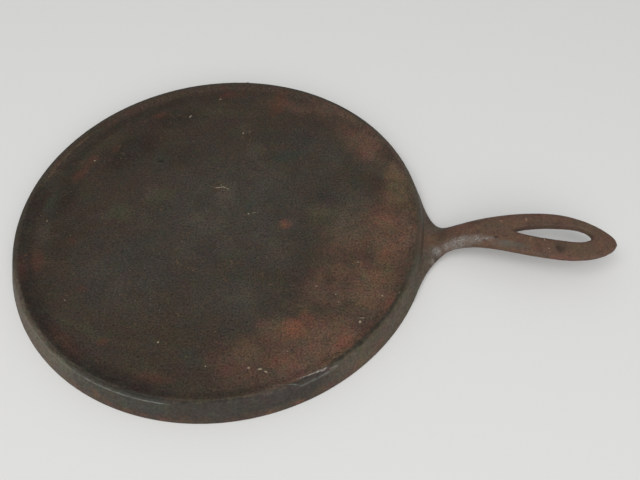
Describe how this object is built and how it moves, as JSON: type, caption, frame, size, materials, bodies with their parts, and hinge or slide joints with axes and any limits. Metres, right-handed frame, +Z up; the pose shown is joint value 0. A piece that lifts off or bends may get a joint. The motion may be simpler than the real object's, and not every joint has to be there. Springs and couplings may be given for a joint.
{
  "type": "griddle pan",
  "caption": "Round cast-iron griddle pan with a shallow recessed cooking face, a flared side wall and a raised loop handle with a hanging slot.",
  "frame": {"origin": "on the table plane that the foot of the side wall stands on, under the middle of the pan and handle together", "axes": "+Z up out of the cooking face, +X along the handle from the round pan to the handle's tip, +Y to the left of the handle seen from above with +X ahead"},
  "size_m": [0.3782, 0.2664, 0.0231],
  "materials": {
    "cooking_face": "seasoned and rusted cooking face, rough and finely pitted",
    "rim_and_wall": "smoother worn grey iron with thin rust, polished along the rim's edge",
    "handle": "even reddish-brown rust, worn bright on the neck"
  },
  "bodies": {
    "root": {"griddle_plate": "cooking_face", "side_wall": "rim_and_wall", "loop_handle": "handle"}
  },
  "joints": []
}
